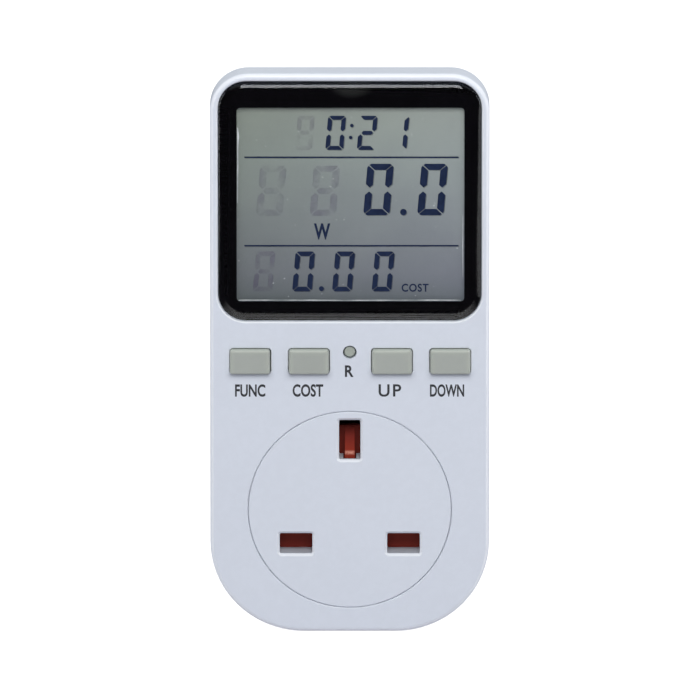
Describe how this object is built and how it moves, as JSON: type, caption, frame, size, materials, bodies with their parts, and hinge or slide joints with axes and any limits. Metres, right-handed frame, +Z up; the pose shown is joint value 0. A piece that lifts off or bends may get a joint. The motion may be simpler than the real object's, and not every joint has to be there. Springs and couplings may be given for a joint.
{
  "type": "plug in power meter",
  "caption": "Plug-in mains energy meter: rectangular-pin plug behind, shuttered outlet in front, liquid-crystal display behind a black-bordered window and a row of keys.",
  "frame": {"origin": "on the wall-contact face at the rear, midway between the line and neutral pins", "axes": "+X to the viewer's right, +Y into the wall along the pins, +Z up with the earth pin above; the display faces -Y"},
  "size_m": [0.0576, 0.0619, 0.1192],
  "materials": {
    "casing": "satin",
    "faceplate": "satin",
    "window_clear": "polished",
    "window_black": "polished",
    "lcd_glass": "polished",
    "lcd_rear": "satin",
    "lcd_reflector": "satin",
    "holder_white": "satin",
    "zebra": "matte",
    "circuit_board": "satin",
    "epoxy_black": "satin",
    "crystal_can": "satin",
    "battery_steel": "satin",
    "keys": "satin",
    "switch_black": "satin",
    "switch_plunger": "satin",
    "shutter_red": "satin",
    "spring_steel": "satin",
    "guide_white": "satin",
    "carrier_black": "satin",
    "contact_brass": "satin",
    "pin_brass": "brushed",
    "sleeve_black": "satin",
    "shunt_alloy": "satin",
    "power_laminate": "satin",
    "film_cap_yellow": "satin",
    "can_sleeve": "satin",
    "varistor_blue": "satin",
    "resistor_body": "satin",
    "diode_black": "satin",
    "header_white": "satin",
    "ribbon": "satin",
    "screw_steel": "satin",
    "label_paper": "matte"
  },
  "bodies": {
    "meter_body": {"front_housing": "casing", "rear_housing": "casing", "socket_faceplate": "faceplate", "display_window": "window_clear", "window_border": "window_black", "lcd_front_glass": "lcd_glass", "lcd_rear_glass": "lcd_rear", "lcd_reflector": "lcd_reflector", "lcd_frame": "holder_white", "zebra_strip": "zebra", "display_board": "circuit_board", "controller_blob": "epoxy_black", "clock_crystal": "crystal_can", "backup_battery": "battery_steel", "battery_strap": "battery_steel", "switch_bodies": "switch_black", "shutter_spring": "spring_steel", "shutter_guide": "guide_white", "contact_cover": "guide_white", "contact_carrier": "carrier_black", "line_contact": "contact_brass", "neutral_contact": "contact_brass", "earth_contact": "contact_brass", "line_pin": "pin_brass", "neutral_pin": "pin_brass", "earth_pin": "pin_brass", "line_pin_sleeve": "sleeve_black", "neutral_pin_sleeve": "sleeve_black", "line_link": "contact_brass", "neutral_link": "contact_brass", "earth_link": "contact_brass", "current_shunt": "shunt_alloy", "power_board": "power_laminate", "film_capacitor": "film_cap_yellow", "electrolytic_capacitor": "can_sleeve", "varistor": "varistor_blue", "dropper_resistor": "resistor_body", "rectifier_diodes": "diode_black", "metering_chip": "epoxy_black", "cable_headers": "header_white", "ribbon_cable": "ribbon", "housing_screws": "screw_steel", "board_screws": "screw_steel", "carrier_screws": "screw_steel", "power_board_screws": "screw_steel", "rating_label": "label_paper"},
    "func_key": {"button_func": "keys", "switch_plunger_func": "switch_plunger"},
    "cost_key": {"button_cost": "keys", "switch_plunger_cost": "switch_plunger"},
    "up_key": {"button_up": "keys", "switch_plunger_up": "switch_plunger"},
    "down_key": {"button_down": "keys", "switch_plunger_down": "switch_plunger"},
    "reset_key": {"button_reset": "keys", "switch_plunger_reset": "switch_plunger"},
    "shutter_body": {"shutter": "shutter_red"}
  },
  "joints": [
    {"name": "func_press", "type": "slide", "parent": "meter_body", "child": "func_key", "axis": [0, 1, 0], "range_m": [0, 0.0005], "stiffness_N_per_m": 1200, "springref_m": -0.0001},
    {"name": "cost_press", "type": "slide", "parent": "meter_body", "child": "cost_key", "axis": [0, 1, 0], "range_m": [0, 0.0005], "stiffness_N_per_m": 1200, "springref_m": -0.0001},
    {"name": "up_press", "type": "slide", "parent": "meter_body", "child": "up_key", "axis": [0, 1, 0], "range_m": [0, 0.0005], "stiffness_N_per_m": 1200, "springref_m": -0.0001},
    {"name": "down_press", "type": "slide", "parent": "meter_body", "child": "down_key", "axis": [0, 1, 0], "range_m": [0, 0.0005], "stiffness_N_per_m": 1200, "springref_m": -0.0001},
    {"name": "reset_press", "type": "slide", "parent": "meter_body", "child": "reset_key", "axis": [0, 1, 0], "range_m": [0, 0.0004], "stiffness_N_per_m": 1200, "springref_m": -0.0001},
    {"name": "shutter_slide", "type": "slide", "parent": "meter_body", "child": "shutter_body", "axis": [0, 0, -1], "range_m": [0, 0.0058], "stiffness_N_per_m": 100, "springref_m": -0.0015, "deforming": ["shutter_spring"]}
  ]
}
